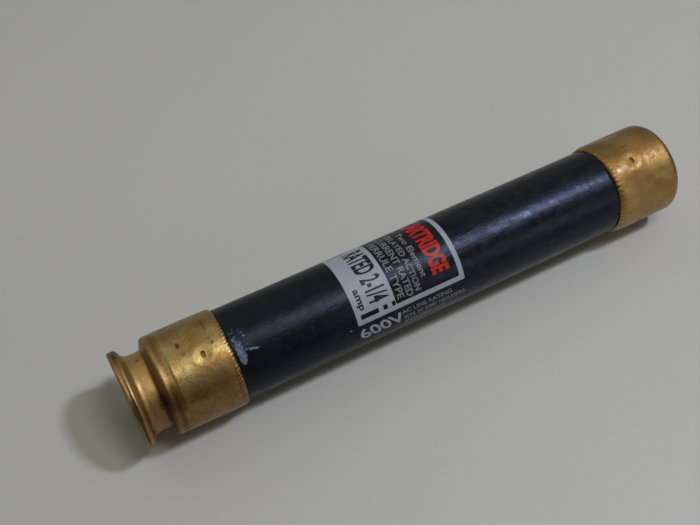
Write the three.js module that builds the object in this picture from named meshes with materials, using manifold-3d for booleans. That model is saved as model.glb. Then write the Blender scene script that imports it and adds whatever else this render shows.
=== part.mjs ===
// A dual-element cartridge fuse with one plain ferrule and one grooved rejection ferrule.
//
// Units are millimetres. The fuse lies along X: the rejection ferrule is at -X, the plain one at +X,
// and +Z is up. The origin is the middle of the fuse, on its axis. Inside, the current runs from the
// rejection ferrule through a notched link in sand, the trigger barrel, the sprung plunger, a ring of
// fusing alloy, the heat absorber, the heater winding, a terminal disc and a second link in sand.
// When the alloy melts, the spring pulls the plunger out of the absorber, towards -X.
import * as THREE from 'three';
import { mergeVertices } from 'three/addons/utils/BufferGeometryUtils.js';
import Module from 'manifold-3d';

const wasm = await Module();
wasm.setup();

// ---------------------------------------------------------------- driving dimensions

const LENGTH = 127;
const END = LENGTH / 2;
const OUTER_FACETS = 48; // a multiple of 4, so that flats face up, down and to both sides
const INNER_FACETS = 24;
const TOUCH_GAP = 0.1; // between pieces that rest on each other
const EMBED_GAP = 0.3; // round a piece that lies in a slot cut for it
const RUNNING_GAP = 0.06; // radial clearance of the sliding rod

const FERRULE = {
  radius: 10.3,
  bore: 9.52,
  endWall: 0.8,
  plainLength: 16.2,
  plainCorner: 1.9,
  rejectionLength: 21.2,
};
const GROOVE = { neckRadius: 8.05, neckBore: 7.3, rimRadius: 10, neckStart: 3.2, neckEnd: 5.5 };
const WITNESS = { start: 7.95, end: 9.15, depth: 0.06 }; // ring pressed where the tube ends
const STAKE = { dishRadius: 1.6, dishDepth: 0.45, holeLength: 1, holeWidth: 1.5, count: 4 };
const REJECTION_STAKE = { x: -47.66, angle: -17.55 }; // degrees from +Z towards +Y
const PLAIN_STAKE = { x: 53.38, angle: -14.48 };

const TUBE = { start: -54.5, end: 60.6, radius: 9.45, bore: 7.4 };
const LABEL = { start: -42.1, end: 46.7, radius: 9.6, bore: 9.47 };

const WASHER = { radius: 9.2, thickness: 0.9 };
const BARRIER = { radius: 7.25, thickness: 1, rejectionX: -17.2, plainX: 18.4 };
const LINK = { width: 4, thickness: 0.3, notchRadius: 1.4, notchPitch: 6.6, notches: 5 };
const SOLDER = { radius: 2.6, height: 1.35, endRadius: 4.2, endHeight: 0.9 };

const SLEEVE = { start: -14.6, end: 16.4, radius: 7.2, bore: 6.45 };
const BARREL = { start: -14, end: 3.6, radius: 6.2, bore: 5.4, endWall: 1, lip: 0.3, lipBore: 5 };
const BUSH = { start: 0.5, end: 3.2, radius: 5.3 };
const ROD = { radius: 1.5, start: -6.7, end: 7, headRadius: 2.4, headLength: 0.65, taper: 0.4 };
const COLLAR = { start: -6, end: -4.6, radius: 5.2 };
const SPRING = { radius: 3.4, wire: 0.35, turns: 4.25 };
const ABSORBER = { start: 4.6, end: 9.2, radius: 5, socket: 1.9, socketDepth: 3, stem: 1.1 };
const ALLOY = { start: 4.7, end: 7.1, radius: 1.86 };
const BOBBIN = { start: 9.6, end: 15.1, core: 2.3, bore: 1.3, flange: 4.1, flangeLength: 0.7 };
const WINDING = { radius: 2.85, wire: 0.22, turns: 6, leadRadius: 4.75, turnGap: 0.45 };
const TERMINAL = { start: 15.4, end: 16.2, radius: 6.2 };

// ---------------------------------------------------------------- materials

const finish = (color, roughness, metalness) => () =>
  new THREE.MeshStandardMaterial({ color, roughness, metalness });

const agedBrass = finish(0x8f7038, 0.38, 1);
const warmBrass = finish(0x98733f, 0.36, 1);
const blackFibre = finish(0x15161a, 0.6, 0);
const blackFilm = finish(0x17181c, 0.45, 0);
const greyFibre = finish(0x6d6a63, 0.85, 0);
const sand = finish(0xcfc6b0, 0.95, 0);
const copper = finish(0xb5714a, 0.35, 1);
const solder = finish(0x9a9c9e, 0.4, 1);
const steel = finish(0x8a8c90, 0.3, 1);
const ceramic = finish(0xe6e1d4, 0.6, 0);
const resistanceWire = finish(0x77736c, 0.4, 1);

// ---------------------------------------------------------------- shape tools

const radians = (degrees) => (degrees * Math.PI) / 180;

// A solid turned about the X axis from [x, radius] points, outer wall towards +X. The flats of its
// facets, not their corners, lie at the named radius.
function turned(profile, facets = INNER_FACETS) {
  const cornerScale = 1 / Math.cos(Math.PI / facets);
  const points = profile.map(([x, radius]) => new THREE.Vector2(radius * cornerScale, x));
  return new THREE.LatheGeometry(points, facets, Math.PI / facets).rotateZ(-Math.PI / 2);
}

// Points of an arc in the [x, radius] plane, its angles in degrees from +X towards outward.
function arc(x, radius, size, from, to, steps) {
  return Array.from({ length: steps + 1 }, (_, i) => {
    const angle = radians(from + ((to - from) * i) / steps);
    return [x + size * Math.cos(angle), radius + size * Math.sin(angle)];
  });
}

const disc = (start, end, radius, facets) =>
  turned([[start, 0], [start, radius], [end, radius], [end, 0]], facets);

const ring = (start, end, radius, bore, facets) =>
  turned([[start, bore], [start, radius], [end, radius], [end, bore], [start, bore]], facets);

// The closed solid of a geometry, for a cut.
function toSolid(geometry) {
  const bare = geometry.clone();
  bare.deleteAttribute('normal');
  bare.deleteAttribute('uv');
  const merged = mergeVertices(bare);
  const corners = merged.index.array;
  const triVerts = [];
  for (let i = 0; i < corners.length; i += 3) {
    const [a, b, c] = corners.subarray(i, i + 3);
    const hasArea = a !== b && b !== c && c !== a; // a lathe's faces lose theirs on its axis
    if (hasArea) triVerts.push(a, b, c);
  }
  const vertProperties = new Float32Array(merged.attributes.position.array);
  return new wasm.Manifold(
    new wasm.Mesh({ numProp: 3, vertProperties, triVerts: new Uint32Array(triVerts) }),
  );
}

// A geometry with each tool cut out of it.
function cut(geometry, ...tools) {
  const result = tools.reduce((solid, tool) => solid.subtract(toSolid(tool)), toSolid(geometry));
  const { vertProperties, triVerts } = result.getMesh();
  const cutGeometry = new THREE.BufferGeometry();
  cutGeometry.setAttribute('position', new THREE.BufferAttribute(vertProperties, 3));
  cutGeometry.setIndex(new THREE.BufferAttribute(triVerts, 1));
  return cutGeometry;
}

// A round wire along a curve.
function wire(curve, radius, steps, sides = 6) {
  const section = new THREE.Shape(
    Array.from({ length: sides }, (_, i) => {
      const angle = (2 * Math.PI * i) / sides;
      return new THREE.Vector2(radius * Math.cos(angle), radius * Math.sin(angle));
    }),
  );
  return new THREE.ExtrudeGeometry(section, { steps, extrudePath: curve });
}

// The slot that a link passes through or ends in.
function linkSlot(start, end) {
  const width = LINK.width + 2 * EMBED_GAP;
  const height = LINK.thickness + 2 * EMBED_GAP;
  const middle = (start + end) / 2;
  return new THREE.BoxGeometry(end - start, width, height).translate(middle, 0, 0);
}

const slottedPlug = (start, end, radius) => cut(disc(start, end, radius), linkSlot(start - 1, end + 1));

// ---------------------------------------------------------------- ferrules

// The dish and the punched hole of one stake mark, ready to be cut at the top of the fuse.
function stakeTools({ x, angle }) {
  const { dishRadius, dishDepth, holeLength, holeWidth } = STAKE;
  const sphere = (dishRadius ** 2 + dishDepth ** 2) / (2 * dishDepth);
  const halfAngle = (Math.asin(dishRadius / sphere) * 180) / Math.PI;
  const bottom = FERRULE.radius - dishDepth;
  const bowl = arc(0, bottom + sphere, sphere, -90, -90 + halfAngle, 4);
  const clear = FERRULE.radius + 1;
  const outline = [...bowl, [dishRadius, clear], [0, clear]];
  const dish = new THREE.LatheGeometry(outline.map(([r, z]) => new THREE.Vector2(r, z)), 16);
  const hole = new THREE.CylinderGeometry(0.5, 0.5, 2, 12).scale(holeLength, 1, holeWidth);
  hole.translate(0, FERRULE.bore + 0.9, 0);
  return [dish, hole].map((tool) =>
    tool.rotateX(Math.PI / 2).translate(x, 0, 0).rotateX(-radians(angle)),
  );
}

const allStakes = (mark) =>
  Array.from({ length: STAKE.count }, (_, i) => ({ ...mark, angle: mark.angle + (360 / STAKE.count) * i }))
    .flatMap(stakeTools);

// The grooved ferrule. Its outline is written as distances from its closed end.
function rejectionFerrule() {
  const { radius, bore, endWall, rejectionLength: mouth } = FERRULE;
  const { neckRadius, neckBore, rimRadius, neckStart, neckEnd } = GROOVE;
  const dent = radius - WITNESS.depth;
  const outside = [
    ...arc(0.45, rimRadius - 0.45, 0.45, 180, 90, 3),
    ...arc(0.8, rimRadius - 1, 1, 90, 15, 5),
    ...arc(neckStart, neckRadius + 1.4, 1.4, 192, 270, 5),
    ...arc(neckEnd, neckRadius + 0.3, 0.3, 270, 330, 2),
    ...arc(7.5, radius - 1, 1, 165, 90, 4),
    [WITNESS.start, dent],
    [WITNESS.end, dent],
    [WITNESS.end + 0.15, radius],
    [mouth - 2, radius],
    [mouth - 0.7, radius - 0.12],
    [mouth - 0.3, radius - 0.3],
    [mouth, bore + 0.23],
  ];
  const inside = [
    [mouth, bore],
    [7.6, bore],
    [7.1, 9.2],
    [6.3, 7.6],
    [5.9, neckBore],
    [2.9, neckBore],
    [2.3, neckBore + 0.15],
    [1.15, 8.5],
    [endWall, 8.2],
  ];
  const profile = [[0, 0], ...outside, ...inside, [endWall, 0]];
  const shell = turned(profile.map(([x, r]) => [x - END, r]), OUTER_FACETS);
  return cut(shell, ...allStakes(REJECTION_STAKE));
}

function plainFerrule() {
  const { radius, bore, endWall, plainCorner } = FERRULE;
  const mouth = END - FERRULE.plainLength;
  const innerCorner = plainCorner - endWall;
  const profile = [
    [END - endWall, 0],
    ...arc(END - plainCorner, bore - innerCorner, innerCorner, 0, 90, 3),
    [mouth, bore],
    [mouth, bore + 0.25],
    [mouth + 0.2, radius - 0.2],
    [mouth + 0.7, radius - 0.05],
    [mouth + 1.3, radius],
    ...arc(END - plainCorner, radius - plainCorner, plainCorner, 90, 0, 6),
    [END, 0],
  ];
  return cut(turned(profile, OUTER_FACETS), ...allStakes(PLAIN_STAKE));
}

// ---------------------------------------------------------------- links and solder

// A ribbon whose pairs of notches leave the narrow necks that burn through in a short circuit.
function fuseLink(start, end) {
  const { width, thickness, notchRadius, notchPitch, notches } = LINK;
  const middle = (start + end) / 2;
  const offset = (i) => middle + (i - (notches - 1) / 2) * notchPitch;
  const half = width / 2;
  const outline = new THREE.Shape();
  outline.moveTo(start, -half);
  outline.lineTo(offset(0) - notchRadius, -half);
  for (let i = 0; i < notches; i += 1) outline.absarc(offset(i), -half, notchRadius, Math.PI, 0, true);
  outline.lineTo(end, -half);
  outline.lineTo(end, half);
  for (let i = notches - 1; i >= 0; i -= 1) outline.absarc(offset(i), half, notchRadius, 0, Math.PI, true);
  outline.lineTo(start, half);
  const settings = { depth: thickness, bevelEnabled: false, curveSegments: 6 };
  return new THREE.ExtrudeGeometry(outline, settings).translate(0, 0, -thickness / 2);
}

// A low dome of solder that stands on a face at x and holds a link's end. Side is +1 where it
// stands out towards +X, and -1 towards -X.
function solderDome(x, side, radius, height) {
  const profile = [[0, 0], [0, radius], [0.35 * height, 0.92 * radius], [0.8 * height, 0.6 * radius]];
  const dome = turned([...profile, [height, 0.3 * radius], [height, 0]]);
  return cut(dome, linkSlot(EMBED_GAP, height + 1))
    .rotateZ(side > 0 ? 0 : Math.PI)
    .translate(x, 0, 0);
}

// ---------------------------------------------------------------- overload trigger

function triggerBarrel() {
  const { start, end, radius, bore, endWall, lip, lipBore } = BARREL;
  return turned([
    [start, 0],
    [start, radius - 0.4],
    [start + 0.4, radius],
    [end, radius],
    [end, lipBore],
    [end - lip, lipBore],
    [end - lip, bore],
    [start + endWall, bore],
    [start + endWall, 0],
  ]);
}

function triggerPlunger() {
  const { radius, start, end, headRadius, headLength, taper } = ROD;
  return turned([
    [start, 0],
    [start, headRadius],
    [start + headLength, headRadius],
    [start + headLength, radius],
    [end - taper, radius],
    [end, radius - taper],
    [end, 0],
  ]);
}

function heatAbsorber() {
  const { start, end, radius, socket, socketDepth, stem } = ABSORBER;
  const bottom = start + socketDepth;
  const stemEnd = BOBBIN.end - 1;
  return turned([
    [bottom, 0],
    [bottom, socket],
    [start, socket],
    [start, radius],
    [end, radius],
    [end, stem],
    [stemEnd, stem],
    [stemEnd, 0],
  ]);
}

function heaterBobbin() {
  const { start, end, core, bore, flange, flangeLength } = BOBBIN;
  return turned([
    [start, bore],
    [start, flange],
    [start + flangeLength, flange],
    [start + flangeLength, core],
    [end - flangeLength, core],
    [end - flangeLength, flange],
    [end, flange],
    [end, bore],
    [start, bore],
  ]);
}

// A point at a distance from the axis and an angle round it, in turns from +Z.
function polarPoint(x, radius, turns) {
  const angle = 2 * Math.PI * turns;
  return new THREE.Vector3(x, radius * Math.sin(angle), radius * Math.cos(angle));
}

class Helix extends THREE.Curve {
  constructor(start, end, radius, turns) {
    super();
    Object.assign(this, { start, end, radius, turns });
  }

  getPoint(t) {
    return polarPoint(this.start + (this.end - this.start) * t, this.radius, this.turns * t);
  }
}

function triggerSpring() {
  const { radius, wire: wireRadius, turns } = SPRING;
  const start = COLLAR.end + TOUCH_GAP + wireRadius;
  const end = BUSH.start - TOUCH_GAP - wireRadius;
  return wire(new Helix(start, end, radius, turns), wireRadius, Math.round(turns * 14));
}

// The winding lies between the bobbin's flanges, and its two ends step out over them to the heat
// absorber and to the terminal disc.
function heaterWinding() {
  const { radius, wire: wireRadius, turns, leadRadius, turnGap } = WINDING;
  const { start, end, flangeLength } = BOBBIN;
  const first = start + flangeLength + turnGap;
  const last = end - flangeLength - turnGap;
  const stepsPerTurn = 12;
  const coil = Array.from({ length: turns * stepsPerTurn + 1 }, (_, i) => {
    const turn = i / stepsPerTurn;
    return polarPoint(first + ((last - first) * turn) / turns, radius, turn);
  });
  const path = [
    polarPoint(ABSORBER.end + 0.15, leadRadius, -0.25),
    polarPoint(first - 0.1, leadRadius, -0.25),
    polarPoint(first, (leadRadius + radius) / 2, -0.14),
    ...coil,
    polarPoint(last, (leadRadius + radius) / 2, turns + 0.14),
    polarPoint(last + 0.1, leadRadius, turns + 0.25),
    polarPoint(TERMINAL.start - 0.15, leadRadius, turns + 0.25),
  ];
  return wire(new THREE.CatmullRomCurve3(path), wireRadius, (turns + 2) * stepsPerTurn);
}

// ---------------------------------------------------------------- assembly

const rodBore = ROD.radius + RUNNING_GAP;
const rejectionFace = -END + FERRULE.endWall;
const plainFace = END - FERRULE.endWall;
const rejectionWasherStart = TUBE.start - TOUCH_GAP - WASHER.thickness;
const plainWasherStart = TUBE.end + TOUCH_GAP;
const linkEndGap = 2 * EMBED_GAP + TOUCH_GAP;

const pieces = [
  ['fuse_tube', ring(TUBE.start, TUBE.end, TUBE.radius, TUBE.bore, OUTER_FACETS), blackFibre],
  ['label_wrap', ring(LABEL.start, LABEL.end, LABEL.radius, LABEL.bore, OUTER_FACETS), blackFilm],
  ['rejection_ferrule', rejectionFerrule(), agedBrass],
  ['plain_ferrule', plainFerrule(), warmBrass],

  ['rejection_end_washer',
    slottedPlug(rejectionWasherStart, TUBE.start - TOUCH_GAP, WASHER.radius), greyFibre],
  ['plain_end_washer',
    slottedPlug(plainWasherStart, plainWasherStart + WASHER.thickness, WASHER.radius), greyFibre],
  ['rejection_end_solder',
    solderDome(rejectionFace + TOUCH_GAP, 1, SOLDER.endRadius, SOLDER.height), solder],
  ['plain_end_solder',
    solderDome(plainFace - TOUCH_GAP, -1, SOLDER.endRadius, SOLDER.endHeight), solder],

  ['rejection_sand_filler',
    slottedPlug(TUBE.start, BARRIER.rejectionX - TOUCH_GAP, BARRIER.radius), sand],
  ['plain_sand_filler',
    slottedPlug(BARRIER.plainX + BARRIER.thickness + TOUCH_GAP, TUBE.end, BARRIER.radius), sand],
  ['rejection_barrier_disc',
    slottedPlug(BARRIER.rejectionX, BARRIER.rejectionX + BARRIER.thickness, BARRIER.radius), greyFibre],
  ['plain_barrier_disc',
    slottedPlug(BARRIER.plainX, BARRIER.plainX + BARRIER.thickness, BARRIER.radius), greyFibre],
  ['rejection_fuse_link',
    fuseLink(rejectionFace + linkEndGap, BARREL.start - linkEndGap), copper],
  ['plain_fuse_link', fuseLink(TERMINAL.end + linkEndGap, plainFace - linkEndGap), copper],
  ['rejection_link_solder',
    solderDome(BARREL.start - TOUCH_GAP, -1, SOLDER.radius, SOLDER.height), solder],
  ['plain_link_solder', solderDome(TERMINAL.end + TOUCH_GAP, 1, SOLDER.radius, SOLDER.height), solder],

  ['insulating_sleeve', ring(SLEEVE.start, SLEEVE.end, SLEEVE.radius, SLEEVE.bore), greyFibre],
  ['trigger_barrel', triggerBarrel(), warmBrass],
  ['spring_bush', ring(BUSH.start, BUSH.end, BUSH.radius, rodBore), ceramic],
  ['trigger_plunger', triggerPlunger(), copper],
  ['spring_collar', ring(COLLAR.start, COLLAR.end, COLLAR.radius, rodBore), warmBrass],
  ['trigger_spring', triggerSpring(), steel],
  ['fusing_alloy', ring(ALLOY.start, ALLOY.end, ALLOY.radius, rodBore), solder],
  ['heat_absorber', heatAbsorber(), copper],
  ['heater_bobbin', heaterBobbin(), ceramic],
  ['heater_winding', heaterWinding(), resistanceWire],
  ['terminal_disc', disc(TERMINAL.start, TERMINAL.end, TERMINAL.radius), warmBrass],
];

const fuse = new THREE.Group();
for (const [name, geometry, material] of pieces) {
  const mesh = new THREE.Mesh(geometry, material());
  mesh.name = name;
  fuse.add(mesh);
}

export default fuse;
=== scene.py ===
"""The looks of a cartridge fuse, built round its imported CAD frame.

Shapes are worked out in millimetres and become metres in their meshes. The fuse lies along X. An angle
round it is measured from the top, +Z, towards the back, +Y. The label's print has its own angles, which
start PRINT_TURN away from the top.
"""
import math

import bmesh
import bpy
import numpy as np
from mathutils import Matrix, Vector


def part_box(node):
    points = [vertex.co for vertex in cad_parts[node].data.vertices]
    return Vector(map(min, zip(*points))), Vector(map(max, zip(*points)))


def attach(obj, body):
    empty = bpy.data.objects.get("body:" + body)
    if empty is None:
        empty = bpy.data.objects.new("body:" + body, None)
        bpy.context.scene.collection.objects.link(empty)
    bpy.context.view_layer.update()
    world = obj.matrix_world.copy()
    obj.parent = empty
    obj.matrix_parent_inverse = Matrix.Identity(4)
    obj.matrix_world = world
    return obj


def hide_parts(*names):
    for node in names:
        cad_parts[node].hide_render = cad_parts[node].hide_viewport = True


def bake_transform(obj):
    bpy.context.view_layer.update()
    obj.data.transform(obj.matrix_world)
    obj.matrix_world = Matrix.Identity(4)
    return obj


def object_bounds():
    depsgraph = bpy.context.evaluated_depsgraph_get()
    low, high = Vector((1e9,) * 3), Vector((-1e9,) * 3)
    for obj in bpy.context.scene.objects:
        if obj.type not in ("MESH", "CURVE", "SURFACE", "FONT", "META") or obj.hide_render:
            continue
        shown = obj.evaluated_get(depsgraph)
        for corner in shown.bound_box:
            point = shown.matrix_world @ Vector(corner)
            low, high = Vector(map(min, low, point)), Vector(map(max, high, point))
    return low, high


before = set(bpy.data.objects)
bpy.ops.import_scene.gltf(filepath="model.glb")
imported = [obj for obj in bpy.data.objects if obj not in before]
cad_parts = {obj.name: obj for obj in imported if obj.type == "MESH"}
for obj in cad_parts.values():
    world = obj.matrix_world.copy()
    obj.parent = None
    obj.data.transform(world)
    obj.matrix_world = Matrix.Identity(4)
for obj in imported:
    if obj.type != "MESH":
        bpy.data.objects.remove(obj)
cad_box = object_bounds()

MM = 0.001
TURN = 2 * math.pi
CARTRIDGE, TRIGGER = "cartridge", "trigger"


# ---------------- camera, floor and light

CAMERA_PLACE = (-65.5, -94.6, 164.5)
CAMERA_AIM = (0.2743, 0.5109, -0.8147)
CAMERA_LENS, CAMERA_SENSOR, CAMERA_NEAR = 48.7, 36, 10
FLOOR_SIZE = 3000
# Each light's name, place, size, power and colour.
WINDOWS = (
    ("key_window", (391, -140, 700), (80, 80), 2.55, (0.79, 0.84, 1.0)),
    ("warm_window", (55, -98, 400), (110, 90), 0.31, (1.0, 0.96, 0.78)),
    ("back_window", (-100, 260, 330), (320, 260), 0.11, (1.0, 0.98, 0.9)),
    ("front_window", (190, -330, 150), (200, 120), 0.13, (1.0, 0.97, 0.88)),
)
BRIGHT_SIDE = (0.3, 0.55, 0.8)
ROOM_TINT = (1.0, 0.965, 0.78)
DIM_ROOM, BRIGHT_ROOM = 0.03, 0.29


def link(obj):
    bpy.context.scene.collection.objects.link(obj)
    return obj


def aim(obj, place, direction, right):
    """Puts an object at a place in millimetres, its -Z along a direction and its +X to the right."""
    back = -Vector(direction).normalized()
    up = back.cross(Vector(right)).normalized()
    turn = Matrix((up.cross(back), up, back)).transposed()
    obj.matrix_world = Matrix.Translation(Vector(place) * MM) @ turn.to_4x4()


def add_camera():
    camera = link(bpy.data.objects.new("camera", bpy.data.cameras.new("camera")))
    camera.data.lens = CAMERA_LENS
    camera.data.sensor_width = CAMERA_SENSOR
    camera.data.clip_start = CAMERA_NEAR * MM
    aim(camera, CAMERA_PLACE, CAMERA_AIM, Vector(CAMERA_AIM).cross((0, 0, 1)))
    bpy.context.scene.camera = camera


def add_window(name, place, size, power, colour):
    """A soft light that faces the fuse, its length along the fuse."""
    lamp = bpy.data.lights.new(name, "AREA")
    lamp.shape = "RECTANGLE"
    lamp.size, lamp.size_y = size[0] * MM, size[1] * MM
    lamp.energy = power
    lamp.color = colour
    window = link(bpy.data.objects.new(name, lamp))
    window.visible_camera = False
    aim(window, place, -Vector(place), (1, 0, 0))


def add_room():
    """Warm dim light from all round, brightest from the top and the back."""
    world = bpy.data.worlds.new("room")
    world.use_nodes = True
    tree = world.node_tree
    direction = tree.nodes.new("ShaderNodeTexCoord").outputs["Generated"]
    towards = tree.nodes.new("ShaderNodeVectorMath")
    towards.operation = "DOT_PRODUCT"
    towards.inputs[1].default_value = BRIGHT_SIDE
    strength = tree.nodes.new("ShaderNodeMapRange")
    strength.interpolation_type = "SMOOTHSTEP"
    strength.inputs["To Min"].default_value = DIM_ROOM
    strength.inputs["To Max"].default_value = BRIGHT_ROOM
    background = tree.nodes["Background"]
    background.inputs["Color"].default_value = (*ROOM_TINT, 1)
    tree.links.new(direction, towards.inputs[0])
    tree.links.new(towards.outputs["Value"], strength.inputs["Value"])
    tree.links.new(strength.outputs[0], background.inputs["Strength"])
    bpy.context.scene.world = world


def add_studio():
    for window in WINDOWS:
        add_window(*window)
    add_room()
    bpy.context.scene.view_settings.view_transform = "Standard"


# ---------------- materials

class Look:
    """A Principled material. Textures are placed by object coordinates, with sizes in millimetres."""

    def __init__(self, name, **surface):
        self.material = bpy.data.materials.new(name)
        self.material.use_nodes = True
        self.tree = self.material.node_tree
        self.shader = self.tree.nodes["Principled BSDF"]
        self.place = self.tree.nodes.new("ShaderNodeTexCoord").outputs["Object"]
        for socket, value in surface.items():
            self.set(self.shader.inputs[socket.replace("_", " ")], value)

    def set(self, socket, value):
        """Links an output to a socket, or sets the socket to a plain number or colour."""
        if isinstance(value, bpy.types.NodeSocket):
            self.tree.links.new(value, socket)
        elif socket.type == "RGBA":
            socket.default_value = (*value, 1)
        else:
            socket.default_value = value

    def add(self, kind, inputs, output=0, **settings):
        node = self.tree.nodes.new("ShaderNode" + kind)
        for name, value in settings.items():
            setattr(node, name, value)
        for socket, value in inputs.items():
            self.set(node.inputs[socket], value)
        return node.outputs[output]

    def spot(self, sizes, shift):
        """Where a texture is read: object coordinates in units of three sizes, then shifted."""
        scale = [1 / (MM * size) for size in sizes]
        return self.add("Mapping", {"Vector": self.place, "Scale": scale, "Location": (shift,) * 3})

    def grain(self, size, shift, detail, soft, stretch=(1, 1, 1)):
        """Noise from 0 to 1 with grains of a size, drawn out by stretch along X, Y and Z."""
        spot = self.spot([size * s for s in stretch], shift)
        return self.add("TexNoise", {"Vector": spot, "Scale": 1.0, "Detail": detail, "Roughness": soft})

    def specks(self, size, share, shift):
        """1 in small round spots and 0 between them; share is the part of the cells that has one."""
        cells = self.tree.nodes.new("ShaderNodeTexVoronoi")
        self.set(cells.inputs["Vector"], self.spot([size] * 3, shift))
        self.set(cells.inputs["Scale"], 1.0)
        near = self.between(cells.outputs["Distance"], 0.32, 0.16)
        chosen = self.add("SeparateColor", {"Color": cells.outputs["Color"]})
        return self.times(near, self.between(chosen, 1 - share - 0.02, 1 - share + 0.02))

    def along(self):
        """The distance along the fuse from its middle, in millimetres."""
        parts = self.add("SeparateXYZ", {"Vector": self.place})
        return self.maths("DIVIDE", parts, MM, clamp=False)

    def painted(self, name):
        """A number that the mesh carries at each of its points."""
        return self.add("Attribute", {}, output=2, attribute_name=name)

    def between(self, value, low, high):
        """0 where value is low, 1 where it is high, and a straight way between."""
        return self.add("MapRange", {"Value": value, "From Min": low, "From Max": high})

    def spread(self, value, low, high):
        """A 0 to 1 value brought to the range from low to high."""
        return self.add("MapRange", {"Value": value, "To Min": low, "To Max": high})

    def maths(self, operation, first, second, clamp=True):
        return self.add("Math", {0: first, 1: second}, operation=operation, use_clamp=clamp)

    def times(self, first, second, clamp=True):
        return self.maths("MULTIPLY", first, second, clamp)

    def total(self, first, *others):
        """Values added up, held between 0 and 1."""
        for other in others:
            first = self.maths("ADD", first, other)
        return first

    def blend(self, share, first, second):
        """Colour first, turning into colour second as share goes from 0 to 1."""
        node = self.tree.nodes.new("ShaderNodeMix")
        node.data_type = "RGBA"
        sockets = {s.identifier: s for s in node.inputs}
        self.set(sockets["Factor_Float"], share)
        self.set(sockets["A_Color"], first)
        self.set(sockets["B_Color"], second)
        return next(s for s in node.outputs if s.identifier == "Result_Color")

    def layered(self, colour, *layers):
        """A colour under layers, each of which is a 0 to 1 share, a strength and a colour."""
        for share, strength, tint in layers:
            colour = self.blend(self.times(share, strength), colour, tint)
        return colour

    def finish(self, colour, roughness, height, depth):
        """Sets colour and roughness, and bumps the surface by a 0 to 1 height, depth millimetres deep."""
        bump = self.add("Bump", {"Height": height, "Distance": depth * MM, "Strength": 1.0})
        for name, value in (("Base Color", colour), ("Roughness", roughness), ("Normal", bump)):
            self.set(self.shader.inputs[name], value)
        return self.material


# The coppery tone of drawn brass, also used for the painted reflection of the floor on the ferrules'
# undersides.
COPPERY_TONE_AND_REFLECTION = (0.66, 0.42, 0.165)


def aged_brass(name, clean, aged, red, shift, least, most):
    """Brass with tarnish in patches that also dull it, dirt and painted shade in the hollows, painted
    shade on the underside, and bright worn edges, some of them painted highlights.

    The mesh carries at each of its points its dirt and painted shade, its wear and painted highlights, and
    its coppery tone, which on the underside is a painted reflection of the floor.
    """
    look = Look(name, Metallic=1.0, Coat_Weight=0.25, Coat_Roughness=0.2)
    dark = tuple(0.25 * c for c in red)
    patches = look.between(look.grain(4.0, shift, 6, 0.66, (1.4, 1, 1)), 0.36, 0.62)
    mottle = look.between(look.grain(1.1, shift + 3, 6, 0.72), 0.38, 0.62)
    fine = look.between(look.grain(0.3, shift + 5, 4, 0.7, (1, 1.5, 1.5)), 0.3, 0.7)
    streaks = look.grain(0.25, shift + 7, 4, 0.6, (1, 14, 14))
    smudges = look.between(look.grain(2.4, shift + 11, 6, 0.7, (1, 1.5, 1.5)), 0.54, 0.7)
    # Dirt together with painted shade in the hollows and on the underside.
    dirt_and_shade = look.times(look.painted("grime"), look.spread(mottle, 0.8, 1.2))
    # Wear includes painted highlights, and the coppery tone a painted reflection of the floor on the
    # underside.
    wear, coppery = look.painted("wear"), look.painted("coppery")
    colour = look.layered(
        look.blend(patches, clean, aged), (mottle, 0.4, aged), (fine, 0.25, red), (smudges, 0.38, red),
        (coppery, 0.75, COPPERY_TONE_AND_REFLECTION), (look.specks(1.2, 0.05, shift), 0.4, dark))
    colour = look.blend(look.between(dirt_and_shade, 0.0, 0.55), colour, red)
    colour = look.blend(look.between(dirt_and_shade, 0.45, 1.1), colour, dark)
    colour = look.layered(colour, (wear, 0.6, tuple(1.15 * c for c in clean)))
    dull = look.total(look.times(patches, 0.45), look.times(mottle, 0.55))
    rough = look.total(look.spread(dull, least, most), look.times(coppery, 0.13), look.times(dirt_and_shade, 0.12))
    rough = look.maths("SUBTRACT", rough, look.times(wear, 0.1))
    height = look.total(look.times(mottle, 0.7), look.times(streaks, 0.2), look.times(fine, 0.15))
    return look.finish(colour, rough, height, 0.03)


def label_film():
    """Satin black film with a bluish bloom, dust and scuffs. The mesh carries where glue is smeared."""
    look = Look("label_film", Specular_IOR_Level=0.3, Specular_Tint=(0.58, 0.67, 1.0))
    cloudy = look.between(look.grain(3.2, 2, 5, 0.62, (1.8, 1, 1)), 0.36, 0.66)
    mottle = look.between(look.grain(1.0, 5, 4, 0.66, (1.6, 1, 1)), 0.36, 0.64)
    scuffs = look.between(look.grain(0.35, 9, 4, 0.65, (5, 1, 1)), 0.56, 0.74)
    dust = look.times(look.between(look.grain(0.3, 15, 3, 0.6), 0.6, 0.72), cloudy)
    bloom = look.between(look.grain(1.5, 19, 5, 0.7, (1.4, 1, 1)), 0.48, 0.68)
    # Painted shade: the film is darker towards the rejection end, where less light falls, and rougher
    # there.
    toward_rejection_end = look.between(look.along(), 4, -34)
    dappled = look.between(look.grain(0.5, 17, 3, 0.6), 0.35, 0.62)
    torn = look.maths("SUBTRACT", look.grain(0.5, 13, 4, 0.62), 0.5, clamp=False)
    smear = look.total(look.painted("smear"), look.times(torn, 1.15, clamp=False))
    smear = look.between(smear, 0.42, 0.72)
    pale = look.blend(dappled, (0.07, 0.09, 0.15), (0.25, 0.3, 0.43))
    colour = look.layered(
        look.blend(cloudy, (0.003, 0.0032, 0.005), (0.0052, 0.0056, 0.0095)),
        (bloom, 0.5, (0.022, 0.026, 0.038)), (toward_rejection_end, 0.75, (0.0018, 0.0019, 0.003)),
        (scuffs, 0.4, (0.024, 0.027, 0.042)), (dust, 0.3, (0.06, 0.068, 0.095)), (smear, 0.75, pale))
    rough = look.total(look.spread(cloudy, 0.26, 0.35), look.spread(mottle, -0.03, 0.07),
                       look.times(toward_rejection_end, 0.06))
    height = look.total(look.times(mottle, 0.7), look.times(scuffs, 0.3))
    return look.finish(colour, rough, height, 0.028)


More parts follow.
